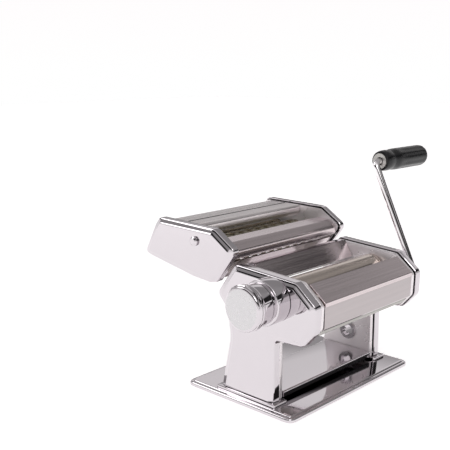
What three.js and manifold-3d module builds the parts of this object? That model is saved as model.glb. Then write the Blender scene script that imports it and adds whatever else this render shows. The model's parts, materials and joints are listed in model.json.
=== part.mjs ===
// Hand-cranked pasta roller machine with a removable two-width cutting head.
// Millimetres, +Z up. X runs along the rollers (knob side -X, crank side +X), the front
// faces -Y, and the origin is the centre of the base plate's underside.

import * as THREE from 'three';
import { mergeVertices } from 'three/addons/utils/BufferGeometryUtils.js';
import Module from 'manifold-3d';

const wasm = await Module();
wasm.setup();

// ---- driving dimensions -------------------------------------------------------------

const GAP = 0.4; // air between pieces that touch or are fastened to each other
const SHEET = 1.6; // pressed steel of shells and bearing plates
const THIN_SHEET = 1.2; // covers

const BASE_WIDTH = 200;
const BASE_DEPTH = 135;
const BASE_HEIGHT = 5.3;
const BASE_CORNER = 9;
const FOOT_TOP = 7.8; // raised pads of the base under the two legs
const BRIDGE_TOP = 14.3;
const BRIDGE_FRONT = -36.5;
const BRIDGE_REAR = 21;

const SHELL_OUTER = 90.4; // outer face of a side shell, from the centre plane
const SHELL_INNER = 79.2; // inboard edge of its turned rim
const PLATE_OUTER = 78.8; // outboard edge of a bearing plate's rim
const PLATE_INNER = 72.7; // inboard face of a bearing plate
const PLATE_INSET = 1.6; // how far a bearing plate stays inside the side outline
const SHELL_EDGE = 3; // rounding of the outer edge

const REGULATOR_AXIS = [-37, 108.5]; // y, z of the knob and the adjustable roller
const DRIVE_AXIS = [-65.5, 97.8]; // y, z of the cranked roller
const ROLLER_RADIUS = 14.5;
const ROLLER_HALF = 72.2;
const ECCENTRICITY = 0.8; // half a turn of the knob moves the roller's axis by twice this
const SHAFT_RADIUS = 6;
const REGULATOR_RADIUS = 4.5;

const KNOB_RADIUS = 21.5;
const KNOB_INNER_X = -111.2; // knob rim next to the index boss
const KNOB_DOME_X = -127; // where the domed cap sits on the knob
const KNOB_TIP_X = -133.5;
const INDEX_RADIUS = 15; // ring that the index pin runs in

const CRANK_PLANE = 108; // x of the crank's arm
const CRANK_END = [-11, 213.5]; // y, z of the grip's axis
const CRANK_ROD_RADIUS = 4;
const CRANK_BEND = 9;
const GRIP_START = 119;
const GRIP_END = 203;

const SOCKET_CENTRE = [-7, 32]; // clamp socket through the crank-side leg
const SOCKET_RADIUS = 6.5;

const CUTTER_OUTER = 91.3; // cutting head cheeks, from the centre plane
const CUTTER_INNER = 81.4;
const WEB_OUTER = 81;
const WEB_INNER = 79;
const COVER_HALF = 78.6; // the cutting head's covers end just short of its webs
const CUTTER_SHAFT = 4.3;
const WIDE_PAIR = { y: [44.5, 65.5], z: 136.5, radius: 11, groove: 9.5, strip: 6.6 };
const NARROW_PAIR = { y: [99, 118.6], z: 136, radius: 9.5 };

// The machine's side view as [y, z, corner radius], counter-clockwise from the front foot.
const SIDE_OUTLINE = [
  [-37, 8.2, 5.5],
  [29, 8.2, 5.5],
  [18, 60, 30],
  [23, 87, 14],
  [35.5, 100.5, 7],
  [11.5, 132.5, 7],
  [-62, 127.8, 8],
  [-84.2, 109.5, 9],
  [-83.3, 85.5, 9],
  [-70, 70, 10],
  [-37, 69, 7],
];

// The cutting head's side view.
const CUTTER_OUTLINE = [
  [35, 110.3, 8],
  [45, 108.3, 8],
  [68, 110.2, 20],
  [128, 121, 9],
  [141.5, 124, 8],
  [124, 155.5, 9],
  [117, 164.3, 8],
  [38, 162.6, 12],
  [9.5, 144.3, 8],
];

// The rear slope of the head, and the cutting head's face along it.
const SLOPE_TOP = [11.5, 132.5];
const UP_SLOPE = new THREE.Vector3(0, -0.6, 0.8);
const SLOPE_NORMAL = new THREE.Vector3(0, 0.8, 0.6);
const RAIL_X = 55;

// ---- finishes -----------------------------------------------------------------------

const FINISHES = {
  chrome: { color: 0xdbd5da, roughness: 0.08, metalness: 1 },
  brushed: { color: 0x9a9294, roughness: 0.3, metalness: 1 },
  roller: { color: 0xa39a92, roughness: 0.22, metalness: 1 },
  cutting: { color: 0x8d8778, roughness: 0.3, metalness: 1 },
  gear: { color: 0x8f8c88, roughness: 0.45, metalness: 1 },
  bush: { color: 0xe6e2d8, roughness: 0.5, metalness: 0 },
  black: { color: 0x17181a, roughness: 0.4, metalness: 0 },
};

// ---- solids -------------------------------------------------------------------------

function toSolid(geometry) {
  const bare = geometry.clone();
  for (const attribute of ['normal', 'uv']) bare.deleteAttribute(attribute);
  const merged = mergeVertices(bare, 1e-4);
  const index = merged.index.array;
  const triangles = [];
  for (let i = 0; i < index.length; i += 3) {
    const [a, b, c] = [index[i], index[i + 1], index[i + 2]];
    if (a !== b && b !== c && c !== a) triangles.push(a, b, c);
  }
  return new wasm.Manifold(new wasm.Mesh({
    numProp: 3,
    vertProperties: new Float32Array(merged.attributes.position.array),
    triVerts: new Uint32Array(triangles),
  }));
}

function toGeometry(solid) {
  const mesh = solid.getMesh();
  const geometry = new THREE.BufferGeometry();
  geometry.setAttribute('position', new THREE.BufferAttribute(mesh.vertProperties, 3));
  geometry.setIndex(new THREE.BufferAttribute(mesh.triVerts, 1));
  geometry.computeVertexNormals();
  return geometry;
}

function cut(geometry, ...tools) {
  return toGeometry(tools.reduce((left, tool) => left.subtract(toSolid(tool)), toSolid(geometry)));
}

function join(geometry, ...others) {
  return toGeometry(others.reduce((all, other) => all.add(toSolid(other)), toSolid(geometry)));
}

// ---- outlines -----------------------------------------------------------------------

const ARC_STEPS = 2;

// Replaces each [u, v, radius] corner with a short curve that leaves its sides in line.
function roundCorners(corners, closed = true) {
  const points = [];
  corners.forEach(([u, v, radius = 0], i) => {
    const corner = new THREE.Vector2(u, v);
    const isEnd = !closed && (i === 0 || i === corners.length - 1);
    if (isEnd || radius === 0) {
      points.push(corner);
      return;
    }
    const count = corners.length;
    const before = new THREE.Vector2(...corners[(i + count - 1) % count]).sub(corner);
    const after = new THREE.Vector2(...corners[(i + 1) % count]).sub(corner);
    const angle = Math.acos(before.dot(after) / (before.length() * after.length()));
    const reach = Math.min(radius / Math.tan(angle / 2), 0.48 * before.length(), 0.48 * after.length());
    const start = before.setLength(reach).add(corner);
    const end = after.setLength(reach).add(corner);
    points.push(...new THREE.QuadraticBezierCurve(start, corner, end).getPoints(ARC_STEPS));
  });
  return points;
}

// Moves every point along its mitre; positive goes left of the direction of travel.
function offsetPoints(points, distance, closed = true) {
  const count = points.length;
  return points.map((point, i) => {
    const from = points[closed ? (i + count - 1) % count : Math.max(i - 1, 0)];
    const to = points[closed ? (i + 1) % count : Math.min(i + 1, count - 1)];
    let incoming = point.clone().sub(from).normalize();
    let outgoing = to.clone().sub(point).normalize();
    if (from === point) incoming = outgoing;
    if (to === point) outgoing = incoming;
    const mitre = incoming.clone().add(outgoing).normalize();
    const left = new THREE.Vector2(-mitre.y, mitre.x);
    const stretch = Math.max(mitre.dot(outgoing), 0.3);
    return point.clone().addScaledVector(left, distance / stretch);
  });
}

// The same outline drawn further in, with its corners tightened to match.
function insetOutline(corners, distance) {
  const moved = offsetPoints(corners.map(([u, v]) => new THREE.Vector2(u, v)), distance);
  return roundCorners(moved.map(({ x, y }, i) => [x, y, Math.max(corners[i][2] - distance, 1)]));
}

// ---- solids along X -----------------------------------------------------------------

const TURN_TO_X = new THREE.Matrix4().makeBasis(
  new THREE.Vector3(0, 1, 0),
  new THREE.Vector3(0, 0, 1),
  new THREE.Vector3(1, 0, 0),
);

// Extrudes a (y, z) outline from x = start to x = end.
function extrudeX(points, start, end, bevel = 0) {
  const options = { depth: end - start, bevelEnabled: false };
  if (bevel > 0) {
    options.depth -= 2 * bevel;
    options.bevelEnabled = true;
    options.bevelThickness = bevel;
    options.bevelSize = bevel;
    options.bevelOffset = -bevel;
    options.bevelSegments = 2;
  }
  const geometry = new THREE.ExtrudeGeometry(new THREE.Shape(points), options);
  geometry.applyMatrix4(TURN_TO_X);
  geometry.translate(start + bevel, 0, 0);
  return geometry;
}

// Turns a profile of [radius, x] points about an axis parallel to X through (y, z).
function turnX(profile, [y, z], segments = 16) {
  const ends = profile[0][0] === 0 ? profile : [...profile, profile[0]];
  const points = ends.map(([radius, x]) => new THREE.Vector2(radius, x));
  const geometry = new THREE.LatheGeometry(points, segments);
  geometry.rotateZ(-Math.PI / 2);
  geometry.rotateX(Math.PI / segments);
  geometry.translate(0, y, z);
  return facingOut(geometry);
}

// Turns the triangles round if the profile was drawn the other way about.
function facingOut(geometry) {
  const position = geometry.attributes.position;
  const index = geometry.index.array;
  const corner = [0, 1, 2].map(() => new THREE.Vector3());
  let volume = 0;
  for (let i = 0; i < index.length; i += 3) {
    corner.forEach((point, k) => point.fromBufferAttribute(position, index[i + k]));
    volume += corner[0].dot(corner[1].clone().cross(corner[2]));
  }
  if (volume < 0) {
    for (let i = 0; i < index.length; i += 3) {
      [index[i], index[i + 1]] = [index[i + 1], index[i]];
    }
  }
  return geometry;
}

function rodX(radius, start, end, centre, segments = 16) {
  return turnX([[0, start], [radius, start], [radius, end], [0, end]], centre, segments);
}

function ringX(inner, outer, start, end, centre, segments = 16) {
  return turnX([[inner, start], [outer, start], [outer, end], [inner, end]], centre, segments);
}

// A bent sheet: an open (y, z) line with a thickness, the sheet lying to its left.
function sheetX(corners, thickness, start, end) {
  const line = roundCorners(corners, false);
  const other = offsetPoints(line, thickness, false);
  const outline = [...line, ...other.reverse()];
  if (THREE.ShapeUtils.area(outline) < 0) outline.reverse();
  return extrudeX(outline, start, end);
}

function boxAt(sizeX, sizeY, sizeZ, x, y, z) {
  const geometry = new THREE.BoxGeometry(sizeX, sizeY, sizeZ);
  geometry.translate(x, y, z);
  return geometry;
}

function gearPoints(teeth, rootRadius, tipRadius, phase) {
  const pitch = (2 * Math.PI) / teeth;
  const corners = [
    [rootRadius, -0.27],
    [tipRadius, -0.1],
    [tipRadius, 0.1],
    [rootRadius, 0.27],
  ];
  const points = [];
  for (let tooth = 0; tooth < teeth; tooth += 1) {
    for (const [radius, share] of corners) {
      const angle = phase + (tooth + share) * pitch;
      points.push(new THREE.Vector2(radius * Math.cos(angle), radius * Math.sin(angle)));
    }
  }
  return points;
}

// A spur gear about an axis parallel to X, with one tooth pointing at angle `phase`.
function gearX(teeth, rootRadius, tipRadius, phase, bore, start, end, [y, z]) {
  const shape = new THREE.Shape(gearPoints(teeth, rootRadius, tipRadius, phase));
  const hole = new THREE.Path();
  hole.absarc(0, 0, bore, 0, 2 * Math.PI, true);
  shape.holes.push(hole);
  const options = { depth: end - start, bevelEnabled: false, curveSegments: 6 };
  const geometry = new THREE.ExtrudeGeometry(shape, options);
  geometry.applyMatrix4(TURN_TO_X);
  geometry.translate(start, y, z);
  return geometry;
}

// ---- the scene ----------------------------------------------------------------------

const machine = new THREE.Group();

function place(parent, name, finish, geometry) {
  const mesh = new THREE.Mesh(geometry, new THREE.MeshStandardMaterial(FINISHES[finish]));
  mesh.name = name;
  parent.add(mesh);
}

// Mirrors a +X geometry to the knob side by swapping x and keeping the faces outward.
function mirrored(geometry) {
  const copy = geometry.index ? geometry.toNonIndexed() : geometry.clone();
  copy.scale(-1, 1, 1);
  const position = copy.attributes.position;
  const swap = new THREE.Vector3();
  const keep = new THREE.Vector3();
  for (let i = 0; i < position.count; i += 3) {
    keep.fromBufferAttribute(position, i);
    swap.fromBufferAttribute(position, i + 1);
    position.setXYZ(i, swap.x, swap.y, swap.z);
    position.setXYZ(i + 1, keep.x, keep.y, keep.z);
  }
  return copy;
}

// ---- base and legs ------------------------------------------------------------------

function basePlate() {
  const bevel = 2.6;
  const halfWidth = BASE_WIDTH / 2;
  const halfDepth = BASE_DEPTH / 2;
  const corners = [[-1, -1], [1, -1], [1, 1], [-1, 1]];
  const outline = roundCorners(corners.map(([x, y]) => [x * halfWidth, y * halfDepth, BASE_CORNER]));
  const plate = new THREE.ExtrudeGeometry(new THREE.Shape(outline), {
    depth: BASE_HEIGHT,
    bevelThickness: bevel,
    bevelSize: bevel,
    bevelOffset: -bevel,
    bevelSegments: 2,
  });
  plate.translate(0, 0, -bevel);
  const below = boxAt(BASE_WIDTH * 1.1, BASE_DEPTH * 1.1, 20, 0, 0, -10);
  const padHeight = FOOT_TOP - BASE_HEIGHT + 1;
  const pads = [-83, 83].map((x) => boxAt(20, 75, padHeight, x, -4.5, FOOT_TOP - padHeight / 2));
  return join(cut(plate, below), ...pads);
}

// Raised sheet between the two legs, turned down at the rear and open at the front.
function crossBridge() {
  const bottom = BASE_HEIGHT + GAP;
  const corners = [[BRIDGE_REAR, bottom], [BRIDGE_REAR, BRIDGE_TOP, 2], [BRIDGE_FRONT, BRIDGE_TOP]];
  return sheetX(corners, SHEET, -PLATE_INNER + GAP, PLATE_INNER - GAP);
}

// A pressed tray: closed at its outboard face, open inboard, with a rounded outer edge.
function sideTray(corners, inner, outer, edge) {
  const body = extrudeX(roundCorners(corners), inner - 2 * edge, outer, edge);
  const hollow = extrudeX(insetOutline(corners, SHEET), inner - 3 * edge, outer - SHEET);
  const inboard = boxAt(4 * edge, 400, 400, inner - 2 * edge, 0, 100);
  return cut(body, hollow, inboard);
}

// A bearing plate: flat web inboard, rim turned outboard to meet the shell.
function bearingPlate() {
  const body = extrudeX(insetOutline(SIDE_OUTLINE, PLATE_INSET), PLATE_INNER, PLATE_OUTER);
  const inside = insetOutline(SIDE_OUTLINE, PLATE_INSET + SHEET);
  const hollow = extrudeX(inside, PLATE_INNER + 2.3, PLATE_OUTER + 1);
  return cut(body, hollow);
}

function throughHole(radius, centre) {
  return rodX(radius, 60, 100, centre, 16);
}

function addFrame(parent) {
  const socketHole = throughHole(SOCKET_RADIUS + 2.1, SOCKET_CENTRE);
  const shell = sideTray(SIDE_OUTLINE, SHELL_INNER, SHELL_OUTER, SHELL_EDGE);
  const plate = cut(bearingPlate(), throughHole(SHAFT_RADIUS + 3.4, DRIVE_AXIS));
  const leftShell = cut(shell, throughHole(REGULATOR_RADIUS + 0.7, REGULATOR_AXIS));
  const leftPlate = cut(plate, throughHole(REGULATOR_RADIUS + 0.5, REGULATOR_AXIS));
  const rightShell = cut(shell, throughHole(9, DRIVE_AXIS), socketHole);
  const rightPlate = cut(plate, throughHole(11.2, REGULATOR_AXIS), socketHole);
  place(parent, 'base_plate', 'chrome', basePlate());
  place(parent, 'cross_bridge', 'chrome', crossBridge());
  place(parent, 'left_side_shell', 'chrome', mirrored(leftShell));
  place(parent, 'right_side_shell', 'chrome', rightShell);
  place(parent, 'left_bearing_plate', 'chrome', mirrored(leftPlate));
  place(parent, 'right_bearing_plate', 'chrome', rightPlate);
  const socket = [
    [SOCKET_RADIUS, PLATE_INNER - 1.6],
    [SOCKET_RADIUS + 3.2, PLATE_INNER - 1.6],
    [SOCKET_RADIUS + 3.2, PLATE_INNER - GAP],
    [SOCKET_RADIUS + 1.7, PLATE_INNER - GAP],
    [SOCKET_RADIUS + 1.7, SHELL_OUTER + 0.5],
    [SOCKET_RADIUS, SHELL_OUTER + 0.5],
  ];
  place(parent, 'clamp_socket_bush', 'chrome', turnX(socket, SOCKET_CENTRE));
}

// ---- covers, tie rods and scrapers ----------------------------------------------------

function rearCover() {
  const top = 131;
  const corners = [[33.6, 98.8], [10.4, top, 4], [1.6, 131.4]];
  const sheet = sheetX(corners, THIN_SHEET, -ROLLER_HALF, ROLLER_HALF);
  const section = [[-4.5, -0.4], [4.5, -0.4], [6.5, 4], [-6.5, 4]];
  const rails = [-RAIL_X, RAIL_X].map((x) => {
    const shape = new THREE.Shape(section.map((p) => new THREE.Vector2(...p)));
    const rail = new THREE.ExtrudeGeometry(shape, { depth: 22, bevelEnabled: false });
    rail.applyMatrix4(new THREE.Matrix4().makeBasis(new THREE.Vector3(1, 0, 0), SLOPE_NORMAL, UP_SLOPE));
    rail.translate(x, 29.2, 104.7);
    return rail;
  });
  return join(sheet, ...rails);
}

function addCovers(parent) {
  const frontCover = [[-82.9, 106.6], [-82.9, 110.4, 1.6], [-65.2, 124.4]];
  place(parent, 'front_cover', 'brushed', sheetX(frontCover, -THIN_SHEET, -ROLLER_HALF, ROLLER_HALF));
  const frontPanel = [[-80.6, 84.4], [-81.9, 86, 1], [-82.2, 106.2]];
  place(parent, 'front_panel', 'chrome', sheetX(frontPanel, -THIN_SHEET, -ROLLER_HALF, ROLLER_HALF));
  const hopper = [[-10.2, 115.4], [-0.4, 131.6]];
  place(parent, 'hopper_plate', 'brushed', sheetX(hopper, -THIN_SHEET, -ROLLER_HALF, ROLLER_HALF));
  place(parent, 'rear_cover', 'chrome', rearCover());
  const rods = { tie_rod_front: [-73, 80.5], tie_rod_rear: [20, 104], tie_rod_top: [2, 116] };
  for (const [name, centre] of Object.entries(rods)) {
    place(parent, name, 'gear', rodX(3, -ROLLER_HALF, ROLLER_HALF, centre, 14));
  }
  const scrapers = {
    front_scraper: [[-52, 76], [-57, 82.1]],
    rear_scraper: [[-22, 88], [-29.5, 92.4]],
  };
  const scraperHalf = ROLLER_HALF - 1;
  for (const [name, corners] of Object.entries(scrapers)) {
    place(parent, name, 'brushed', sheetX(corners, THIN_SHEET, -scraperHalf, scraperHalf));
  }
}

// ---- smooth rollers -------------------------------------------------------------------

const GEAR_START = 80;
const GEAR_LENGTH = 7;
const ROLLER_GEAR = { teeth: 14, root: 13.1, tip: 16.1 };
const ADJUST_AXIS = [REGULATOR_AXIS[0] + ECCENTRICITY, REGULATOR_AXIS[1]];
const TO_DRIVE = Math.atan2(DRIVE_AXIS[1] - ADJUST_AXIS[1], DRIVE_AXIS[0] - ADJUST_AXIS[0]);

function addDriveRoller(parent) {
  const end = SHELL_OUTER - 0.5;
  const socketRadius = CRANK_ROD_RADIUS + 0.35;
  const profile = [
    [0, -86],
    [SHAFT_RADIUS, -86],
    [SHAFT_RADIUS, -ROLLER_HALF],
    [ROLLER_RADIUS, -ROLLER_HALF],
    [ROLLER_RADIUS, ROLLER_HALF],
    [SHAFT_RADIUS, ROLLER_HALF],
    [SHAFT_RADIUS, end],
    [socketRadius, end],
    [socketRadius, 60],
    [0, 60],
  ];
  const slot = boxAt(6, 4, 4 * SHAFT_RADIUS, end, ...DRIVE_AXIS);
  place(parent, 'drive_roller', 'roller', cut(turnX(profile, DRIVE_AXIS, 24), slot));
  const { teeth, root, tip } = ROLLER_GEAR;
  const phase = TO_DRIVE + Math.PI;
  place(parent, 'drive_gear', 'gear',
    gearX(teeth, root, tip, phase, SHAFT_RADIUS + GAP, GEAR_START, GEAR_START + GEAR_LENGTH, DRIVE_AXIS));
  const bush = ringX(SHAFT_RADIUS + 0.3, SHAFT_RADIUS + 3, ROLLER_HALF + GAP, ROLLER_HALF + 5, DRIVE_AXIS);
  place(parent, 'drive_bush_right', 'bush', bush);
  place(parent, 'drive_bush_left', 'bush', mirrored(bush));
}

// The adjustable roller is a tube that spins on two bushes.
function addAdjustRoller(parent) {
  const bore = 9.9;
  const sleeve = 9;
  const sleeveBore = 6.7;
  const profile = [
    [bore, -ROLLER_HALF],
    [ROLLER_RADIUS, -ROLLER_HALF],
    [ROLLER_RADIUS, ROLLER_HALF],
    [sleeve, ROLLER_HALF],
    [sleeve, GEAR_START + GEAR_LENGTH],
    [sleeveBore, GEAR_START + GEAR_LENGTH],
    [sleeveBore, 70],
    [bore, 70],
  ];
  place(parent, 'adjust_roller', 'roller', turnX(profile, ADJUST_AXIS, 24));
  const { teeth, root, tip } = ROLLER_GEAR;
  const phase = TO_DRIVE + Math.PI / teeth;
  place(parent, 'adjust_gear', 'gear',
    gearX(teeth, root, tip, phase, sleeve + GAP, GEAR_START, GEAR_START + GEAR_LENGTH, ADJUST_AXIS));
  const bush = ringX(7.3, bore - 0.3, 57, 69.5, ADJUST_AXIS);
  place(parent, 'adjust_bush_right', 'bush', bush);
  place(parent, 'adjust_bush_left', 'bush', mirrored(bush));
}

// ---- thickness regulator --------------------------------------------------------------

// The shaft runs through the adjustable roller and carries it on two eccentric lobes.
function regulatorShaft() {
  const profile = [
    [0, KNOB_DOME_X + 0.4],
    [6.6, KNOB_DOME_X + 0.4],
    [6.6, KNOB_DOME_X + 2.4],
    [REGULATOR_RADIUS, KNOB_DOME_X + 2.4],
    [REGULATOR_RADIUS, 87.6],
    [0, 87.6],
  ];
  const lobes = [-68, 58].map((x) => rodX(5.8, x, x + 10, ADJUST_AXIS, 16));
  return join(turnX(profile, REGULATOR_AXIS), ...lobes);
}

class HelixX extends THREE.Curve {
  constructor(radius, start, end, turns, centre) {
    super();
    Object.assign(this, { radius, start, end, turns, centre });
  }

  getPoint(t, target = new THREE.Vector3()) {
    const angle = 2 * Math.PI * this.turns * t;
    return target.set(
      THREE.MathUtils.lerp(this.start, this.end, t),
      this.centre[0] + this.radius * Math.cos(angle),
      this.centre[1] + this.radius * Math.sin(angle),
    );
  }
}

function circleShape(radius, sides) {
  const points = [];
  for (let i = 0; i < sides; i += 1) {
    const angle = (2 * Math.PI * i) / sides;
    points.push(new THREE.Vector2(radius * Math.cos(angle), radius * Math.sin(angle)));
  }
  return new THREE.Shape(points);
}

function addRegulator(parent) {
  const shoulder = KNOB_DOME_X + 10;
  place(parent, 'regulator_shaft', 'gear', regulatorShaft());
  const boss = [
    [5.3, -108.4],
    [5.3, -110.6],
    [INDEX_RADIUS - 2, -110.6],
    [INDEX_RADIUS - 2, -109.2],
    [INDEX_RADIUS + 2, -109.2],
    [INDEX_RADIUS + 2, -110.6],
    [KNOB_RADIUS - 0.2, -110.6],
    [KNOB_RADIUS - 0.2, -SHELL_OUTER - GAP],
    [KNOB_RADIUS - 2.2, -SHELL_OUTER - GAP],
    [KNOB_RADIUS - 2.2, -108.4],
  ];
  place(parent, 'index_boss', 'chrome', turnX(boss, REGULATOR_AXIS, 24));
  const knob = [
    [REGULATOR_RADIUS + 0.4, -113],
    [10, -113],
    [10, KNOB_DOME_X + 2],
    [KNOB_RADIUS - 1.6, KNOB_DOME_X + 2],
    [KNOB_RADIUS - 1.6, KNOB_INNER_X],
    [KNOB_RADIUS, KNOB_INNER_X],
    [KNOB_RADIUS, KNOB_DOME_X],
    [8.2, KNOB_DOME_X],
    [8.2, shoulder],
    [REGULATOR_RADIUS + 0.4, shoulder],
  ];
  place(parent, 'knob_body', 'chrome', turnX(knob, REGULATOR_AXIS, 24));
  const domeBack = KNOB_DOME_X - 0.3;
  const dome = [[0, domeBack], [KNOB_RADIUS, domeBack], [KNOB_RADIUS, domeBack - 1.6]];
  const domeRim = KNOB_RADIUS - 1.2;
  const domeStart = domeBack - 2;
  for (let step = 0; step <= 5; step += 1) {
    const angle = (step / 5) * (Math.PI / 2);
    const radius = step === 5 ? 0 : domeRim * Math.cos(angle);
    dome.push([radius, domeStart + (KNOB_TIP_X - domeStart) * Math.sin(angle)]);
  }
  place(parent, 'knob_dome', 'chrome', turnX(dome, REGULATOR_AXIS, 24));
  const pinCentre = [REGULATOR_AXIS[0], REGULATOR_AXIS[1] + INDEX_RADIUS];
  place(parent, 'index_pin', 'gear', rodX(1.4, KNOB_DOME_X + 2.3, -109.7, pinCentre, 12));
  const helix = new HelixX(6.2, KNOB_DOME_X + 3.5, KNOB_DOME_X + 6.2, 1.5, REGULATOR_AXIS);
  const options = { steps: 20, extrudePath: helix, bevelEnabled: false };
  place(parent, 'knob_spring', 'gear', new THREE.ExtrudeGeometry(circleShape(0.6, 6), options));
}

// ---- crank ----------------------------------------------------------------------------

// One bent rod: shank in the roller's socket, arm, and the pin the grip spins on.
class CrankPath extends THREE.CurvePath {
  constructor() {
    super();
    const hub = new THREE.Vector3(CRANK_PLANE, ...DRIVE_AXIS);
    const top = new THREE.Vector3(CRANK_PLANE, ...CRANK_END);
    const arm = top.clone().sub(hub).normalize();
    const outward = new THREE.Vector3(1, 0, 0);
    const shankEnd = hub.clone().addScaledVector(outward, -CRANK_BEND);
    const armStart = hub.clone().addScaledVector(arm, CRANK_BEND);
    const armEnd = top.clone().addScaledVector(arm, -CRANK_BEND);
    const pinStart = top.clone().addScaledVector(outward, CRANK_BEND);
    this.add(new THREE.LineCurve3(new THREE.Vector3(62, ...DRIVE_AXIS), shankEnd));
    this.add(new THREE.QuadraticBezierCurve3(shankEnd, hub, armStart));
    this.add(new THREE.LineCurve3(armStart, armEnd));
    this.add(new THREE.QuadraticBezierCurve3(armEnd, top, pinStart));
    this.add(new THREE.LineCurve3(pinStart, new THREE.Vector3(GRIP_END - 9, ...CRANK_END)));
  }
}

function addCrank(parent) {
  const options = { steps: 44, extrudePath: new CrankPath(), bevelEnabled: false };
  place(parent, 'crank_rod', 'chrome', new THREE.ExtrudeGeometry(circleShape(CRANK_ROD_RADIUS, 8), options));
  const grip = [
    [0, GRIP_END],
    [8.5, GRIP_END],
    [11.4, GRIP_END - 3],
    [12.2, GRIP_END - 12],
    [12.2, GRIP_START + 34],
    [11.2, GRIP_START + 30],
    [12.2, GRIP_START + 18],
    [10.5, GRIP_START],
    [CRANK_ROD_RADIUS + 0.5, GRIP_START],
    [CRANK_ROD_RADIUS + 0.5, GRIP_END - 8],
    [0, GRIP_END - 8],
  ];
  place(parent, 'crank_grip', 'black', turnX(grip, CRANK_END));
  const ferrule = [
    [CRANK_ROD_RADIUS + 0.5, GRIP_START - 1.6],
    [8.5, GRIP_START - 1.6],
    [8.5, GRIP_START - 0.3],
    [CRANK_ROD_RADIUS + 0.5, GRIP_START - 0.3],
  ];
  place(parent, 'grip_washer', 'gear', turnX(ferrule, CRANK_END));
}

// ---- cutting head -----------------------------------------------------------------------

function addCutterShells(parent) {
  const cheek = sideTray(CUTTER_OUTLINE, CUTTER_INNER, CUTTER_OUTER, SHELL_EDGE);
  const sockets = [[WIDE_PAIR.y[0], WIDE_PAIR.z], [NARROW_PAIR.y[1], NARROW_PAIR.z]];
  const web = extrudeX(insetOutline(CUTTER_OUTLINE, 2.4), WEB_INNER, WEB_OUTER);
  const shafts = [
    ...WIDE_PAIR.y.map((y) => [y, WIDE_PAIR.z]),
    ...NARROW_PAIR.y.map((y) => [y, NARROW_PAIR.z]),
  ];
  const drilled = cut(web, ...shafts.map((centre) => throughHole(CUTTER_SHAFT + 0.4, centre)));
  const rightCheek = cut(cheek, ...sockets.map((centre) => throughHole(6, centre)));
  place(parent, 'cutter_right_cheek', 'chrome', rightCheek);
  place(parent, 'cutter_left_cheek', 'chrome', mirrored(cheek));
  place(parent, 'cutter_right_web', 'chrome', drilled);
  place(parent, 'cutter_left_web', 'chrome', mirrored(drilled));
}

function addCutterCovers(parent) {
  const frontCover = [[22.5, 132.6], [17.4, 135.6, 2], [17, 142.6, 5], [25, 149.6, 8], [40, 151]];
  place(parent, 'cutter_front_cover', 'brushed', sheetX(frontCover, -THIN_SHEET, -COVER_HALF, COVER_HALF));
  const middleCover = [[71, 149.5], [67, 153.5, 3], [67, 161.6, 7.5], [111, 161.6, 3], [113, 158]];
  place(parent, 'cutter_middle_cover', 'brushed', sheetX(middleCover, -THIN_SHEET, -COVER_HALF, COVER_HALF));
  const rearCover = [[125.6, 149.6], [136.6, 130.4, 4], [132, 125.2]];
  place(parent, 'cutter_rear_cover', 'brushed', sheetX(rearCover, -THIN_SHEET, -COVER_HALF, COVER_HALF));
  const carrier = [[36, 113], [22.6, 130.8]];
  place(parent, 'cutter_carrier_plate', 'brushed', sheetX(carrier, -1.4, -COVER_HALF, COVER_HALF));
  place(parent, 'cutter_tie_rod', 'gear', rodX(3, -COVER_HALF, COVER_HALF, [86, 119], 14));
  const screw = [
    [0, CUTTER_OUTER + GAP],
    [4.8, CUTTER_OUTER + GAP],
    [4.8, CUTTER_OUTER + 2],
    [3, CUTTER_OUTER + 3.4],
    [0, CUTTER_OUTER + 3.4],
  ];
  const head = turnX(screw, [62.5, 147.6], 16);
  place(parent, 'cutter_screw_right', 'chrome', head);
  place(parent, 'cutter_screw_left', 'chrome', mirrored(head));
}

// Channel that slides on a dovetail rail of the head's rear cover.
function slideShoe(x) {
  const section = [
    [-11, 0.8],
    [-5.5, 0.8],
    [-7.4, 4.7],
    [7.4, 4.7],
    [5.5, 0.8],
    [11, 0.8],
    [11, 6.4],
    [-11, 6.4],
  ];
  const shape = new THREE.Shape(section.map((p) => new THREE.Vector2(...p)));
  const shoe = new THREE.ExtrudeGeometry(shape, { depth: 20, bevelEnabled: false });
  shoe.applyMatrix4(new THREE.Matrix4().makeBasis(new THREE.Vector3(1, 0, 0), SLOPE_NORMAL, UP_SLOPE));
  shoe.translate(x, 28.6, 105.5);
  return shoe;
}

// Flat comb of spring-steel fingers below a cutting roller.
function comb(fingers, fingerLength, fromY, z, direction) {
  const pitch = (2 * ROLLER_HALF) / fingers;
  const bar = 4;
  const points = [new THREE.Vector2(ROLLER_HALF, 0), new THREE.Vector2(-ROLLER_HALF, 0)];
  for (let i = 0; i < fingers; i += 1) {
    const start = -ROLLER_HALF + i * pitch;
    points.push(new THREE.Vector2(start, -bar - fingerLength));
    points.push(new THREE.Vector2(start + 0.6 * pitch, -bar - fingerLength));
    points.push(new THREE.Vector2(start + 0.6 * pitch, -bar));
    if (i < fingers - 1) points.push(new THREE.Vector2(start + pitch, -bar));
  }
  points.push(new THREE.Vector2(ROLLER_HALF, -bar));
  const geometry = new THREE.ExtrudeGeometry(new THREE.Shape(points), { depth: 1, bevelEnabled: false });
  if (direction > 0) geometry.rotateZ(Math.PI);
  geometry.translate(0, fromY, z);
  return geometry;
}

function addSlidesAndCombs(parent) {
  place(parent, 'left_slide_shoe', 'gear', slideShoe(-RAIL_X));
  place(parent, 'right_slide_shoe', 'gear', slideShoe(RAIL_X));
  place(parent, 'wide_comb_front', 'brushed', comb(11, 10, 36, 123.6, 1));
  place(parent, 'wide_comb_rear', 'brushed', comb(11, 10, 74, 123.6, -1));
  place(parent, 'narrow_comb_front', 'brushed', comb(11, 9, 91.5, 124.6, 1));
  place(parent, 'narrow_comb_rear', 'brushed', comb(11, 9, 126, 124.6, -1));
}

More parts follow.
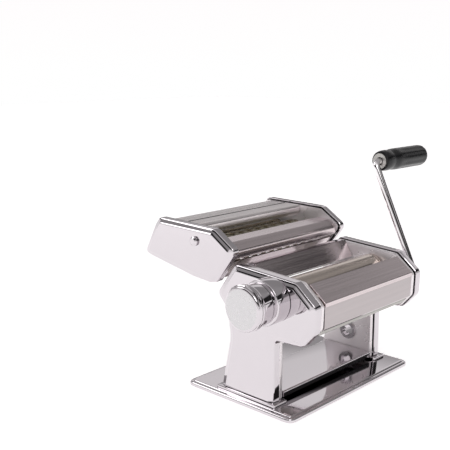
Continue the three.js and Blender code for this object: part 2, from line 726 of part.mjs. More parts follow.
// Rings and grooves of one strip's width, starting with a ring or with a groove.
function stripProfile(pair, startsWithRing) {
  const count = 21;
  const profile = [];
  for (let i = 0; i < count; i += 1) {
    const isRing = (i % 2 === 0) === startsWithRing;
    const radius = isRing ? pair.radius : pair.groove;
    const shrink = isRing ? 0.3 : -0.3;
    const start = (i - count / 2) * pair.strip;
    const isFirst = i === 0;
    const isLast = i === count - 1;
    profile.push([radius, isFirst ? start : start + shrink]);
    profile.push([radius, isLast ? start + pair.strip : start + pair.strip - shrink]);
  }
  return profile;
}

function addCuttingRoller(parent, name, pair, position, options) {
  const centre = [pair.y[position], pair.z];
  const shaftEnd = 89;
  const body = options.strips ?? [[pair.radius, -ROLLER_HALF], [pair.radius, ROLLER_HALF]];
  const profile = [
    [0, -84],
    [CUTTER_SHAFT, -84],
    [CUTTER_SHAFT, body[0][1]],
    ...body,
    [CUTTER_SHAFT, body[body.length - 1][1]],
    [CUTTER_SHAFT, shaftEnd],
    [0, shaftEnd],
  ];
  place(parent, name, 'cutting', turnX(profile, centre, options.segments));
  const phase = position === 0 ? 0 : Math.PI - Math.PI / options.teeth;
  place(parent, `${name}_gear`, 'gear',
    gearX(options.teeth, options.root, options.tip, phase, CUTTER_SHAFT + GAP, 82.4, 87.4, centre));
}

function addCuttingRollers(parent) {
  const wide = { teeth: 14, root: 9.1, tip: 11.5, segments: 12 };
  const narrow = { teeth: 14, root: 8.4, tip: 10.8, segments: 16 };
  const frontStrips = stripProfile(WIDE_PAIR, true);
  const rearStrips = stripProfile(WIDE_PAIR, false);
  addCuttingRoller(parent, 'wide_cutter_front', WIDE_PAIR, 0, { ...wide, strips: frontStrips });
  addCuttingRoller(parent, 'wide_cutter_rear', WIDE_PAIR, 1, { ...wide, strips: rearStrips });
  addCuttingRoller(parent, 'narrow_cutter_front', NARROW_PAIR, 0, narrow);
  addCuttingRoller(parent, 'narrow_cutter_rear', NARROW_PAIR, 1, narrow);
}

addFrame(machine);
addCovers(machine);
addDriveRoller(machine);
addAdjustRoller(machine);
addRegulator(machine);
addCrank(machine);
const cuttingHead = new THREE.Group();
machine.add(cuttingHead);
addCutterShells(cuttingHead);
addCutterCovers(cuttingHead);
addSlidesAndCombs(cuttingHead);
addCuttingRollers(cuttingHead);

export default machine;
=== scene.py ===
import json
import math

import bmesh
import bpy
from mathutils import Matrix, Vector


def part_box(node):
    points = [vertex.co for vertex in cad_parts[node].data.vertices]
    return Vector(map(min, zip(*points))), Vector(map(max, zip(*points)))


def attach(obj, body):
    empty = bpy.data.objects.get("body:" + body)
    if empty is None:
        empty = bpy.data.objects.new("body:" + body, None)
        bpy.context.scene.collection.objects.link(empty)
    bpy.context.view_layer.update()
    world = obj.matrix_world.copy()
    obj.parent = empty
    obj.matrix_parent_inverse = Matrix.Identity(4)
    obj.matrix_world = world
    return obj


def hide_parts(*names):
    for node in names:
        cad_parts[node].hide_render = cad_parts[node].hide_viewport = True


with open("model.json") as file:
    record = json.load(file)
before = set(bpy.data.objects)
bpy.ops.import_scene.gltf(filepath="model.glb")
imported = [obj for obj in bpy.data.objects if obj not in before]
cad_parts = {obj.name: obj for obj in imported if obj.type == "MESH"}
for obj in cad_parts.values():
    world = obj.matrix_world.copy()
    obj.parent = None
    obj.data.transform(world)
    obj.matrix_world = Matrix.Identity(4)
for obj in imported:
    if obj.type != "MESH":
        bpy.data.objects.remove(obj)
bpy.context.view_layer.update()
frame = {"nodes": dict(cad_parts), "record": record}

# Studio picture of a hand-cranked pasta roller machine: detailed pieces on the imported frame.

MM = 0.001
NODES = frame["nodes"]

# ---- shared dimensions, in millimetres ------------------------------------------------

SKIN = 1.6
SHELL_OUTER = 90.3
SHELL_INNER = 79.3
PLATE_OUTER = 77.6
PLATE_INNER = 72.8
COVER_HALF = 72.2
CUTTER_OUTER = 91.2
CUTTER_INNER = 81.5
CUTTER_COVER_HALF = 78.5
REGULATOR = (-37.0, 108.5)
DRIVE = (-65.5, 97.8)
ROLLER_RADIUS = 14.4
FOOT_LEVEL = 8.3
KNOB_FACE_X = -132.3

# Trays with an edge this wide get a flat chamfer between two rolled corners, as (depth, inset).
BROAD_EDGE = 2
BROAD_CHAMFER = [
    (4.2, 0), (3.3, 0.12), (2.65, 0.5), (2.25, 1.0), (1.6, 2.7),
    (0.95, 4.4), (0.8, 4.7), (0.25, 5.55), (0.08, 5.95), (0, 6.5),
]

# Groove across the cutting head's middle cover: its two lips and the floor's edges, as y.
GROOVE_LIPS = (86.8, 89.4)
GROOVE_FLOOR = (87.2, 89.0)
COVER_TOP = 161.6
GROOVE_DEPTH = 1.0

SIDE_OUTLINE = [
    (-37, 1, 2), (30.6, 1, 2), (18, 60, 30), (23, 87, 14), (35.5, 100.5, 7), (11.5, 132.5, 7),
    (-62, 127.8, 8), (-84.2, 109.5, 9), (-83.3, 85.5, 9), (-70, 70, 10), (-37, 69, 7),
]
CUTTER_OUTLINE = [
    (35, 110.3, 8), (45, 108.3, 8), (68, 110.2, 20), (128, 121, 9), (141.1, 124.1, 8),
    (124, 155.5, 9), (117, 164.3, 8), (38, 162.6, 12), (9.5, 144.3, 8),
]


def node_middle(name):
    """Middle of a CAD node's box across the rollers, as (y, z) in millimetres."""
    low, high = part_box(name)
    return ((low.y + high.y) / 2 / MM, (low.z + high.z) / 2 / MM)


# ---- outlines -------------------------------------------------------------------------

def round_corners(corners, steps=8, closed=True):
    """Swaps each (u, v, radius) corner for a short curve in line with its two sides."""
    points = []
    count = len(corners)
    for i, corner in enumerate(corners):
        here = Vector(corner[:2])
        radius = corner[2] if len(corner) > 2 else 0
        is_end = not closed and i in (0, count - 1)
        if is_end or radius == 0:
            points.append(here)
            continue
        before = Vector(corners[i - 1][:2]) - here
        after = Vector(corners[(i + 1) % count][:2]) - here
        reach = min(radius / math.tan(before.angle(after) / 2), 0.48 * before.length, 0.48 * after.length)
        start = here + before.normalized() * reach
        end = here + after.normalized() * reach
        for step in range(steps + 1):
            t = step / steps
            points.append(start * (1 - t) ** 2 + here * 2 * t * (1 - t) + end * t * t)
    return points


def offset_line(points, distance, closed=True):
    """Moves every point along its mitre; positive goes left of the direction of travel."""
    count = len(points)
    moved = []
    for i, point in enumerate(points):
        before = points[i - 1] if closed or i > 0 else point
        after = points[(i + 1) % count] if closed or i < count - 1 else point
        incoming = (point - before).normalized() if point != before else (after - point).normalized()
        outgoing = (after - point).normalized() if after != point else incoming
        mitre = (incoming + outgoing).normalized()
        left = Vector((-mitre.y, mitre.x))
        moved.append(point + left * distance / max(mitre.dot(outgoing), 0.3))
    return moved


def inset_corners(corners, distance):
    """The (u, v, radius) corners moved inwards, with their radii tightened to match."""
    plain = offset_line([Vector(corner[:2]) for corner in corners], distance)
    return [(p.x, p.y, max(c[2] - distance, 1)) for p, c in zip(plain, corners)]


def inset(corners, distance):
    """The rounded outline drawn further in."""
    return round_corners(inset_corners(corners, distance))


# ---- meshes ---------------------------------------------------------------------------

def add_piece(name, mesh, body, material, replaces=(), sharp=35):
    """Turns a mesh in metres into a smooth-shaded piece that rides on a body."""
    for polygon in mesh.polygons:
        polygon.use_smooth = True
    mesh.set_sharp_from_angle(angle=math.radians(sharp))
    piece = bpy.data.objects.new(name, mesh)
    bpy.context.scene.collection.objects.link(piece)
    if not mesh.materials:
        mesh.materials.append(material)
    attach(piece, body)
    if replaces:
        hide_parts(*replaces)
    return piece


def finish_mesh(name, builder):
    bmesh.ops.recalc_face_normals(builder, faces=builder.faces)
    mesh = bpy.data.meshes.new(name)
    builder.to_mesh(mesh)
    builder.free()
    return mesh


def loft_x(name, rings, side=1, hidden=0):
    """Closed skin through equal-count (y, z) rings of (x, points), in millimetres.

    The first `hidden` bands and the first cap take the mesh's second material, which in trays is the black
    painted shade.
    """
    builder = bmesh.new()
    loops = [[builder.verts.new((side * x * MM, p.x * MM, p.y * MM)) for p in points] for x, points in rings]
    for band, (near, far) in enumerate(zip(loops, loops[1:])):
        for i in range(len(near)):
            j = (i + 1) % len(near)
            face = builder.faces.new((near[i], near[j], far[j], far[i]))
            face.material_index = 1 if band < hidden else 0
    builder.faces.new(loops[0]).material_index = 1 if hidden else 0
    builder.faces.new(loops[-1])
    return finish_mesh(name, builder)


def tray(name, corners, inner, outer, edge, side, material):
    """A pressed tray whose inside faces take a black painted shade, so gaps into it read as shadow lines."""
    mesh = loft_x(name, tray_rings(corners, inner, outer, edge), side, hidden=2)
    mesh.materials.append(material)
    mesh.materials.append(GAP_SHADE)
    return mesh


def cut_level(mesh, height):
    """Cuts a closed mesh off level at a height in millimetres and closes the cut."""
    builder = bmesh.new()
    builder.from_mesh(mesh)
    everything = [*builder.verts, *builder.edges, *builder.faces]
    cut = bmesh.ops.bisect_plane(
        builder, geom=everything, plane_co=(0, 0, height * MM), plane_no=(0, 0, 1), clear_inner=True)
    edges = [item for item in cut["geom_cut"] if isinstance(item, bmesh.types.BMEdge)]
    bmesh.ops.triangle_fill(builder, edges=edges, use_beauty=True)
    bmesh.ops.recalc_face_normals(builder, faces=builder.faces)
    builder.to_mesh(mesh)
    builder.free()
    return mesh


def tray_rings(corners, inner, outer, edge, skin=SKIN, rim=0.5):
    """A pressed tray: rounded outer edge, rolled rim, open towards the middle."""
    bend = edge * 0.7
    profile = [
        (outer - skin, skin + bend), (outer - skin - bend, skin), (inner + rim, skin),
        (inner, skin - rim), (inner, rim), (inner + rim, 0),
    ]
    if edge < BROAD_EDGE:
        profile += [(outer - edge, 0), (outer - 0.3 * edge, 0.3 * edge), (outer, edge)]
    else:
        profile += [(outer - depth, distance) for depth, distance in BROAD_CHAMFER]
    return [(x, inset(corners, distance)) for x, distance in profile]


def sheet_x(name, corners, thickness, half, steps=8):
    """A bent sheet along X from an open (y, z) line, lying to the line's left."""
    line = round_corners(corners, steps, closed=False)
    outline = line + list(reversed(offset_line(line, thickness, closed=False)))
    return loft_x(name, [(-half, outline), (half, outline)])


def turn_x(name, profile, centre, segments=96, flute=None):
    """Turns a closed or axis-ended profile of (radius, x) about an axis along X."""
    builder = bmesh.new()
    loops = []
    for radius, x in profile:
        loop = []
        for i in range(segments):
            angle = 2 * math.pi * i / segments
            r = radius + (flute(x, angle) if flute else 0)
            y = centre[0] + r * math.cos(angle)
            z = centre[1] + r * math.sin(angle)
            loop.append(builder.verts.new((x * MM, y * MM, z * MM)))
        loops.append(loop)
    closed = profile[0] != profile[-1] and profile[0][0] > 0
    pairs = list(zip(loops, loops[1:] + ([loops[0]] if closed else [])))
    for near, far in pairs:
        for i in range(segments):
            j = (i + 1) % segments
            builder.faces.new((near[i], near[j], far[j], far[i]))
    bmesh.ops.remove_doubles(builder, verts=builder.verts, dist=1e-7)
    return finish_mesh(name, builder)


def drilled(mesh, holes):
    """Cuts round holes along X through a mesh; each hole is (radius, (y, z), x from, x to)."""
    target = bpy.data.objects.new("drill_target", mesh)
    bpy.context.scene.collection.objects.link(target)
    tools = []
    for radius, centre, start, end in holes:
        tool_mesh = turn_x("drill", [(0, start), (radius, start), (radius, end), (0, end)], centre, 64)
        tool = bpy.data.objects.new("drill", tool_mesh)
        bpy.context.scene.collection.objects.link(tool)
        modifier = target.modifiers.new("hole", "BOOLEAN")
        modifier.operation = "DIFFERENCE"
        modifier.solver = "EXACT"
        modifier.object = tool
        tools.append(tool)
    bpy.context.view_layer.update()
    result = bpy.data.meshes.new_from_object(target.evaluated_get(bpy.context.evaluated_depsgraph_get()))
    for thing in [target, *tools]:
        bpy.data.objects.remove(thing)
    return result


# ---- materials ------------------------------------------------------------------------

def metal(name, color, roughness, scale, spread=0.04, bump=0.02, metallic=1.0, tint=0.05):
    """Polished or brushed finish: stretched noise varies colour, roughness and relief."""
    material = bpy.data.materials.new(name)
    material.use_nodes = True
    tree = material.node_tree
    shader = tree.nodes["Principled BSDF"]
    shader.inputs["Metallic"].default_value = metallic
    place = tree.nodes.new("ShaderNodeTexCoord")
    stretch = tree.nodes.new("ShaderNodeMapping")
    stretch.inputs["Scale"].default_value = scale
    tree.links.new(place.outputs["Object"], stretch.inputs["Vector"])
    noise = tree.nodes.new("ShaderNodeTexNoise")
    noise.inputs["Scale"].default_value = 1
    noise.inputs["Detail"].default_value = 5
    tree.links.new(stretch.outputs["Vector"], noise.inputs["Vector"])
    level = tree.nodes.new("ShaderNodeMapRange")
    level.inputs["From Min"].default_value = 0.3
    level.inputs["From Max"].default_value = 0.7
    level.inputs["To Min"].default_value = max(roughness - spread, 0.02)
    level.inputs["To Max"].default_value = roughness + spread
    tree.links.new(noise.outputs["Fac"], level.inputs["Value"])
    tree.links.new(level.outputs["Result"], shader.inputs["Roughness"])
    ramp = tree.nodes.new("ShaderNodeValToRGB")
    ramp.color_ramp.elements[0].position = 0.3
    ramp.color_ramp.elements[0].color = (*[c * (1 - tint) for c in color], 1)
    ramp.color_ramp.elements[1].position = 0.7
    ramp.color_ramp.elements[1].color = (*[min(c * (1 + tint), 1) for c in color], 1)
    tree.links.new(noise.outputs["Fac"], ramp.inputs["Fac"])
    tree.links.new(ramp.outputs["Color"], shader.inputs["Base Color"])
    relief = tree.nodes.new("ShaderNodeBump")
    relief.inputs["Strength"].default_value = bump
    relief.inputs["Distance"].default_value = 0.0003
    tree.links.new(noise.outputs["Fac"], relief.inputs["Height"])
    tree.links.new(relief.outputs["Normal"], shader.inputs["Normal"])
    return material


CHROME = metal("polished_chrome", (0.64, 0.605, 0.63), 0.055, (14, 14, 14), 0.025, 0.012, tint=0.012)
PLATE = metal("plate_chrome", (0.86, 0.81, 0.83), 0.28, (30, 30, 30), 0.05, 0.015, 0.55, 0.02)
# Darker copy of the chrome for the front panel: painted shade standing in for its dimmer reflection.
SHADED_PANEL = metal("panel_chrome_painted_shade", (0.46, 0.42, 0.425), 0.1, (6, 300, 300), 0.03, 0.015, tint=0.03)
# Lighter copy of the chrome for the crank bar: painted light standing in for brighter reflections along it.
LIT_BAR = metal("crank_chrome_painted_light", (0.93, 0.90, 0.915), 0.06, (14, 14, 14), 0.02, 0.012, tint=0.012)
# Near-black painted shade for tray insides and the groove floor, standing in for the shadow in gaps and
# creases.
GAP_SHADE = metal("painted_gap_shade", (0.02, 0.02, 0.022), 0.7, (60, 60, 60), 0.05, 0.05, 0.0, 0.2)
SATIN = metal("satin_cap", (0.60, 0.59, 0.60), 0.24, (40, 260, 260), 0.06, 0.02, tint=0.03)
COVER = metal("brushed_cover", (0.65, 0.575, 0.585), 0.22, (6, 700, 700), 0.05, 0.05)
BAND = metal("brushed_band", (0.84, 0.79, 0.79), 0.3, (6, 900, 900), 0.05, 0.04)
ROLLER = metal("ground_roller", (0.64, 0.56, 0.505), 0.2, (12, 500, 500), 0.05, 0.03)
CUTTING = metal("turned_cutter", (0.36, 0.33, 0.255), 0.2, (300, 40, 40), 0.04, 0.01)
STEEL = metal("plain_steel", (0.46, 0.45, 0.43), 0.35, (120, 120, 120), 0.08, 0.08)
NYLON = metal("white_nylon", (0.86, 0.85, 0.82), 0.45, (150, 150, 150), 0.05, 0.05, 0.0, 0.03)
GRIP = metal("satin_black_plastic", (0.006, 0.006, 0.007), 0.28, (260, 260, 260), 0.05, 0.12, 0.0, 0.2)
GRIP.node_tree.nodes["Principled BSDF"].inputs["Specular IOR Level"].default_value = 0.3
BY_SLOT = {
    "shell_chrome": CHROME, "brushed_cover": COVER, "roller_steel": ROLLER, "cutting_steel": CUTTING,
    "plain_steel": STEEL, "bush_plastic": NYLON, "grip_plastic": GRIP,
}

for part in frame["record"]["subparts"]:
    data = NODES[part["node"]].data
    data.materials.clear()
    data.materials.append(BY_SLOT[part["material_slot"]])

for name in ("cutter_left_web", "cutter_right_web"):
    NODES[name].data.materials[0] = PLATE

# ---- base and frame -------------------------------------------------------------------

# Stands a loft made along X upright: x becomes z, y becomes x and z becomes y.
X_TO_Z = Matrix(((0, 1, 0, 0), (0, 0, 1, 0), (1, 0, 0, 0), (0, 0, 0, 1)))


def build_base():
    corners = [(sx * 100, sy * 67.5, 9) for sx, sy in ((-1, -1), (1, -1), (1, 1), (-1, 1))]
    height, edge, steps = 5.3, 2.2, 7
    levels = [(0, inset(corners, 0.3)), (0.3, inset(corners, 0))]
    for step in range(steps + 1):
        angle = step / steps * math.pi / 2
        rise = edge * math.sin(angle)
        levels.append((height - 1 - edge + rise, inset(corners, edge * (1 - math.cos(angle)))))
    top_step = [(1, 3.3), (0.9, 3.6), (0.3, 4.0), (0.05, 4.4), (0, 4.9)]
    levels += [(height - below, inset(corners, distance)) for below, distance in top_step]
    mesh = loft_x("base_sheet", levels)
    mesh.transform(X_TO_Z)
    add_piece("base_sheet", mesh, "machine_frame", CHROME, ("base_plate",))
    for label, side in (("left", -1), ("right", 1)):
        signs = ((-1, -1), (1, -1), (1, 1), (-1, 1))
        pad = [(side * 83 + sx * 9.9, -4.5 + sy * 37.4, 3) for sx, sy in signs]
        levels = [(5.0, inset(pad, 0)), (7.0, inset(pad, 0)), (7.5, inset(pad, 0.2)), (7.75, inset(pad, 0.7))]
        mesh = loft_x("foot_pad", levels)
        mesh.transform(X_TO_Z)
        add_piece(f"{label}_foot_pad", mesh, "machine_frame", CHROME)


def build_frame():
    socket = node_middle("clamp_socket_bush")
    for label, side in (("left", -1), ("right", 1)):
        shell = tray("shell", SIDE_OUTLINE, SHELL_INNER, SHELL_OUTER, 3.6, side, CHROME)
        plate_outline = inset_corners(SIDE_OUTLINE, 1.6)
        plate = tray("plate", plate_outline, -PLATE_OUTER, -PLATE_INNER, 1.2, -side, PLATE)
        plate_holes = [(9.4, DRIVE, side * 60, side * 100)]
        if side > 0:
            shell_holes = [(9, DRIVE, 60, 100), (8.6, socket, 60, 100)]
            plate_holes += [(11.2, REGULATOR, 60, 100), (8.6, socket, 60, 100)]
        else:
            shell_holes = [(5.2, REGULATOR, -100, -60)]
            plate_holes += [(5.0, REGULATOR, -100, -60)]
        skins = (
            ("shell", shell, shell_holes, CHROME, "side_shell"),
            ("plate", plate, plate_holes, PLATE, "bearing_plate"),
        )
        for kind, mesh, holes, material, node in skins:
            mesh = cut_level(drilled(mesh, holes), FOOT_LEVEL)
            add_piece(
                f"{label}_{kind}_skin", mesh, "machine_frame", material, (f"{label}_{node}",))


def build_covers():
    sheets = [
        ("front_cover_sheet", [(-82.9, 106.6), (-82.9, 110.4, 1.6), (-65.2, 124.4)], -1.2, COVER,
         "front_cover"),
        ("front_panel_sheet", [(-80.6, 84.4), (-81.9, 86, 1), (-82.2, 106.2)], -1.2, SHADED_PANEL, "front_panel"),
        ("hopper_sheet", [(-10.2, 115.4), (-0.4, 131.6)], -1.2, COVER, "hopper_plate"),
        ("bridge_sheet", [(21, 5.7), (21, 14.3, 2), (-36.5, 14.3, 1.6), (-36.5, 8.8)], SKIN, CHROME,
         "cross_bridge"),
    ]
    for name, corners, thickness, material, node in sheets:
        add_piece(name, sheet_x(name, corners, thickness, COVER_HALF), "machine_frame", material, (node,))


# ---- rollers, knob and crank ----------------------------------------------------------

def soft_edge(radius, x, inward, turn=1.0):
    """Quarter-round from the end face at x to the surface; inward is +1 or -1 along X."""
    steps = 4
    points = []
    for step in range(steps + 1):
        angle = step / steps * math.pi / 2
        points.append((radius - turn + turn * math.sin(angle), x + inward * turn * (1 - math.cos(angle))))
    return points


def roller_surface(radius, half):
    left = soft_edge(radius - 0.3, -half, 1, 1.6)
    collar = [(0.3, 5.5), (1.2, 5.9), (1.2, 6.7), (0, 7)]
    left += [(radius - depth, -half + along) for depth, along in collar]
    return left + [(r, -x) for r, x in reversed(left)]


def build_rollers():
    skin = [(6, -86), (6, -COVER_HALF + 0.2)] + roller_surface(ROLLER_RADIUS, COVER_HALF - 0.2)
    skin += [(6, COVER_HALF - 0.2), (6, 89.7), (4.5, 89.7), (4.5, 60), (0, 60)]
    mesh = turn_x("drive_roller_skin", [(0, -86)] + skin, DRIVE)
    add_piece("drive_roller_skin", mesh, "drive_roller", ROLLER, ("drive_roller",))
    axis = node_middle("adjust_roller")
    tube = roller_surface(ROLLER_RADIUS, COVER_HALF - 0.2)
    tube += [(9, COVER_HALF - 0.2), (9, 86.8), (6.8, 86.8), (6.8, 70), (9.9, 70), (9.9, -COVER_HALF + 0.2)]
    mesh = turn_x("adjust_roller_skin", tube, axis)
    add_piece("adjust_roller_skin", mesh, "adjust_roller", ROLLER, ("adjust_roller",))


def build_knob():
    boss = [(19.2, -110.5), (19.2, -107.6)] + soft_edge(21.2, -107.4, 1, 1.2)
    boss += soft_edge(21.2, -90.9, -1, 0.5)[::-1] + [(17.4, -90.9), (17.4, -108.4)]
    boss += [(5.4, -108.4), (5.4, -110.5), (13, -110.5), (13, -109.3), (17, -109.3), (17, -110.5)]
    mesh = turn_x("boss_skin", boss, REGULATOR)
    add_piece("boss_skin", mesh, "machine_frame", CHROME, ("index_boss",))
    cup = soft_edge(21.3, -126.9, 1, 0.4) + [(21.3, -124.2), (20.9, -123.2), (19.9, -122.6)]
    cup += soft_edge(19.6, -111.3, -1, 0.5)[::-1]
    cup += [(18.2, -111.3), (18.2, -125), (10, -125), (10, -113)]
    cup += [(5, -113), (5, -117), (8.1, -117), (8.1, -126.9)]
    add_piece("knob_cup", turn_x("knob_cup", cup, REGULATOR), "knob", CHROME, ("knob_body",))
    dome = [(0, -127.4)] + soft_edge(21.4, -127.4, -1, 0.4)
    dome += [(21.4, -129.2), (20.6, -129.8)]
    for step in range(1, 13):
        angle = step / 12 * math.pi / 2
        dome.append((20.6 - 3.4 * (1 - math.cos(angle)), -129.8 - 2.6 * math.sin(angle)))
    for step in range(1, 11):
        t = step / 10
        dome.append((17.2 * (1 - t), -132.4 - 0.9 * (1 - (1 - t) ** 2)))
    mesh = turn_x("knob_cap", dome, REGULATOR)
    cap = add_piece("knob_cap", mesh, "knob", CHROME, ("knob_dome",))
    cap.data.materials.append(SATIN)
    for polygon in cap.data.polygons:
        if polygon.center.x < KNOB_FACE_X * MM:
            polygon.material_index = 1


def build_crank():
    rod_low, rod_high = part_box("crank_rod")
    grip_low, grip_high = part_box("crank_grip")
    pin = node_middle("crank_grip")
    plane, bend = 108, 9
    hub = Vector((plane, *DRIVE))
    top = Vector((plane, *pin))
    arm = (top - hub).normalized()
    out = Vector((1, 0, 0))
    path = [Vector((rod_low.x / MM + 0.1, *DRIVE))]
    for corner, before, after in ((hub, -out, arm), (top, -arm, out)):
        start, end = corner + before * bend, corner + after * bend
        for step in range(15):
            t = step / 14
            path.append(start * (1 - t) ** 2 + corner * 2 * t * (1 - t) + end * t * t)
    path.append(Vector((rod_high.x / MM - 0.1, *pin)))
    builder = bmesh.new()
    loops = []
    side = arm.cross(out).normalized()
    for i, point in enumerate(path):
        along = (path[min(i + 1, len(path) - 1)] - path[max(i - 1, 0)]).normalized()
        across = side.cross(along).normalized()
        loops.append([
            builder.verts.new((point + (side * math.cos(a) + across * math.sin(a)) * 3.95) * MM)
            for a in [2 * math.pi * k / 40 for k in range(40)]
        ])
    for near, far in zip(loops, loops[1:]):
        for i in range(40):
            j = (i + 1) % 40
            builder.faces.new((near[i], near[j], far[j], far[i]))
    builder.faces.new(loops[0])
    builder.faces.new(loops[-1])
    add_piece("crank_bar", finish_mesh("crank_bar", builder), "crank", LIT_BAR, ("crank_rod",))

    start, end = grip_low.x / MM, grip_high.x / MM
    length = end - start

    def flutes(x, angle):
        along = (x - start) / length
        depth = max(0, min(1, (along - 0.3) * 8, (0.97 - along) * 14))
        return -0.55 * depth * (0.5 - 0.5 * math.cos(10 * angle))

    profile = [(4.6, end - 8), (4.6, start)] + soft_edge(10.6, start, 1, 0.8)[1:]
    profile += [(11.2, start + 0.05 * length), (11.4, start + 0.12 * length), (10.7, start + 0.17 * length)]
    profile += [(10.6, start + 0.2 * length), (11.6, start + 0.25 * length), (11.9, start + 0.32 * length)]
    for step in range(1, 13):
        profile.append((11.9, start + (0.32 + 0.05 * step) * length * 0.95))
    for step in range(13):
        angle = step / 12 * math.pi / 2
        profile.append((11.9 - 4.5 * (1 - math.cos(angle)), end - 6 + 5.4 * math.sin(angle)))
    profile += [(6, end - 0.3), (0, end - 0.1)]
    mesh = turn_x("grip_body", [(0, end - 8)] + profile, pin, 120, flutes)
    add_piece("grip_body", mesh, "grip", GRIP, ("crank_grip",))


# ---- cutting head ---------------------------------------------------------------------

def build_cutting_head():
    sockets = [node_middle("wide_cutter_front"), node_middle("narrow_cutter_rear")]
    for label, side in (("left", -1), ("right", 1)):
        cheek = tray("cheek", CUTTER_OUTLINE, CUTTER_INNER, CUTTER_OUTER, 3.6, side, CHROME)
        if side > 0:
            cheek = drilled(cheek, [(6, centre, 60, 100) for centre in sockets])
        add_piece(f"cutter_{label}_cheek_skin", cheek, "cutting_head", CHROME,
                  (f"cutter_{label}_cheek",))
    floor = COVER_TOP - GROOVE_DEPTH
    groove = [(GROOVE_LIPS[0], COVER_TOP), (GROOVE_FLOOR[0], floor)]
    groove += [(GROOVE_FLOOR[1], floor), (GROOVE_LIPS[1], COVER_TOP)]
    sheets = [
        ("cutter_front_sheet", [(22.5, 132.6), (17.4, 135.6, 2), (17, 142.6, 5), (25, 149.6, 8), (40, 151)],
         COVER, "cutter_front_cover"),
        ("cutter_middle_sheet", [(71, 149.5), (67, 153.5, 3), (67, COVER_TOP, 7.5), *groove,
                                 (111, COVER_TOP, 3), (113, 158)], BAND, "cutter_middle_cover"),
        ("cutter_rear_sheet", [(125.6, 149.6), (136.6, 130.4, 4), (132, 125.2)], COVER, "cutter_rear_cover"),
    ]
    for name, corners, material, node in sheets:
        mesh = sheet_x(name, corners, -1.2, CUTTER_COVER_HALF)
        piece = add_piece(name, mesh, "cutting_head", material, (node,))
        # The groove's floor faces take the black painted shade, drawing the seam across the top as a shadow
        # line.
        if material is BAND:
            piece.data.materials.append(GAP_SHADE)
            for polygon in piece.data.polygons:
                y, z = polygon.center.y / MM, polygon.center.z / MM
                if GROOVE_LIPS[0] < y < GROOVE_LIPS[1] and z > floor - 0.2:
                    polygon.material_index = 1


def ring_profile(radius, groove, pitch, count, first_ring):
    profile = []
    for i in range(count):
        size = radius if (i % 2 == 0) == first_ring else groove
        start = (i - count / 2) * pitch
        profile += [(size, start + 0.3), (size, start + pitch - 0.3)]
    return profile


# Width name, ring radius, groove radius, ring width and number of rings and grooves.
CUTTER_RINGS = (("wide", 10.6, 9.3, 6.6, 21), ("narrow", 9.3, 8.5, 2.0, 71))


def build_cutting_rollers():
    for position in ("front", "rear"):
        for width, radius, groove, pitch, count in CUTTER_RINGS:
            name = f"{width}_cutter_{position}"
            body = ring_profile(radius, groove, pitch, count, position == "front")
            profile = [(0, -83.9), (4.2, -83.9), (4.2, body[0][1])] + body
            profile += [(4.2, body[-1][1]), (4.2, 88.9), (0, 88.9)]
            mesh = turn_x(f"{name}_skin", profile, node_middle(name), 64)
            add_piece(f"{name}_skin", mesh, name, CUTTING, (name,))


# ---- studio ---------------------------------------------------------------------------

def sky_ramp(tree, split, stops):
    """Brightness of the studio by height above the horizon."""
    ramp = tree.nodes.new("ShaderNodeValToRGB")
    tree.links.new(split.outputs["Z"], ramp.inputs["Fac"])
    elements = ramp.color_ramp.elements
    while len(elements) > 1:
        elements.remove(elements[-1])
    elements[0].position = stops[0][0]
    elements[0].color = (stops[0][1],) * 3 + (1,)
    for position, value in stops[1:]:
        elements.new(position).color = (value, value * 0.98, value * 0.985, 1)
    return ramp.outputs["Color"]


def sky_mix(tree, value, low, high, below, above):
    """One half of the studio below a direction component, the other above it."""
    blend = tree.nodes.new("ShaderNodeMapRange")
    blend.inputs["From Min"].default_value = low
    blend.inputs["From Max"].default_value = high
    tree.links.new(value, blend.inputs["Value"])
    mix = tree.nodes.new("ShaderNodeMix")
    mix.data_type = "RGBA"
    tree.links.new(blend.outputs["Result"], mix.inputs["Factor"])
    tree.links.new(below, mix.inputs["A"])
    tree.links.new(above, mix.inputs["B"])
    return mix.outputs["Result"]


# Pale walls with dark cards for the chrome to reflect, as (height of direction, brightness).
LEFT_SKY = [
    (0, 1), (0.22, 1), (0.26, 0.36), (0.36, 0.3), (0.39, 0.02), (0.62, 0.02),
    (0.7, 0.85), (0.82, 0.85), (1, 0.42),
]
BACK_SKY = [
    (0, 1), (0.09, 1), (0.1, 0.02), (0.14, 0.02), (0.17, 0.4), (0.28, 0.36),
    (0.34, 0.8), (0.46, 0.85), (0.53, 0.3), (1, 0.34),
]
FRONT_SKY = [
    (0, 1), (0.09, 1), (0.1, 0.02), (0.14, 0.02), (0.155, 0.95), (0.205, 0.95),
    (0.22, 0.02), (0.43, 0.02), (0.47, 0.36), (1, 0.34),
]


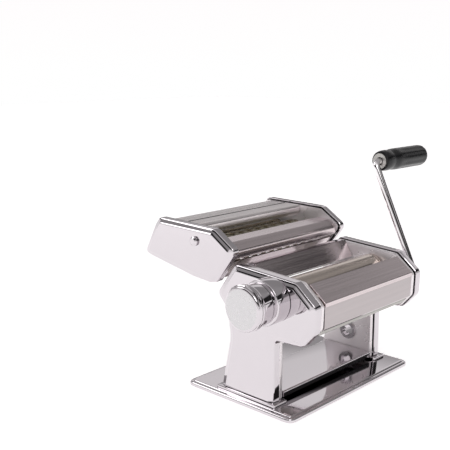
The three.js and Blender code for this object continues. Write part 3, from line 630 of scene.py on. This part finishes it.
def build_studio():
    world = bpy.data.worlds.new("studio")
    bpy.context.scene.world = world
    world.use_nodes = True
    tree = world.node_tree
    background = tree.nodes["Background"]
    place = tree.nodes.new("ShaderNodeTexCoord")
    split = tree.nodes.new("ShaderNodeSeparateXYZ")
    tree.links.new(place.outputs["Generated"], split.inputs["Vector"])
    left = sky_ramp(tree, split, LEFT_SKY)
    back = sky_ramp(tree, split, BACK_SKY)
    front = sky_ramp(tree, split, FRONT_SKY)
    right = sky_mix(tree, split.outputs["Y"], -0.25, -0.1, front, back)
    everywhere = sky_mix(tree, split.outputs["X"], -0.15, 0.05, left, right)
    tree.links.new(everywhere, background.inputs["Color"])
    background.inputs["Strength"].default_value = 1.0

    lights = (("key", (-1.3, -1.5, 1.9), 1.1, 12), ("rim", (-0.9, 1.5, 1.4), 0.9, 7))
    for name, spot, size, power in lights:
        data = bpy.data.lights.new(name, "AREA")
        data.size = size
        data.energy = power
        lamp = bpy.data.objects.new(name, data)
        lamp.location = spot
        aim = Vector((0, 0, 0.08)) - Vector(spot)
        lamp.rotation_euler = aim.to_track_quat("-Z", "Y").to_euler()
        bpy.context.scene.collection.objects.link(lamp)

    builder = bmesh.new()
    signs = ((-1, -1), (1, -1), (1, 1), (-1, 1))
    corners = [builder.verts.new((sx * 6, sy * 6, -0.0004)) for sx, sy in signs]
    builder.faces.new(corners)
    floor = bpy.data.objects.new("floor", finish_mesh("floor", builder))
    paper = metal("white_paper", (0.93, 0.925, 0.925), 0.8, (40, 40, 40), 0.05, 0.01, 0.0, 0.005)
    floor.data.materials.append(paper)
    shader = paper.node_tree.nodes["Principled BSDF"]
    shader.inputs["Emission Color"].default_value = (1, 0.99, 0.99, 1)
    shader.inputs["Emission Strength"].default_value = 0.62
    bpy.context.scene.collection.objects.link(floor)
    bpy.context.scene.view_settings.view_transform = "Standard"


def build_camera():
    yaw, pitch, roll = math.radians(45.98), math.radians(11.40), math.radians(-0.28)
    forward = Vector((math.sin(yaw) * math.cos(pitch), math.cos(yaw) * math.cos(pitch), -math.sin(pitch)))
    flat_right = Vector((math.cos(yaw), -math.sin(yaw), 0))
    flat_up = flat_right.cross(forward)
    right = flat_right * math.cos(roll) + flat_up * math.sin(roll)
    up = flat_up * math.cos(roll) - flat_right * math.sin(roll)
    data = bpy.data.cameras.new("camera")
    data.sensor_width = 36
    data.lens = 61.9
    camera = bpy.data.objects.new("camera", data)
    turn = Matrix((right, up, -forward)).transposed().to_4x4()
    camera.matrix_world = Matrix.Translation(Vector((-602.1, -472.4, 312.5)) * MM) @ turn
    bpy.context.scene.collection.objects.link(camera)
    bpy.context.scene.camera = camera


build_camera()
build_base()
build_frame()
build_covers()
build_rollers()
build_knob()
build_crank()
build_cutting_head()
build_cutting_rollers()
build_studio()
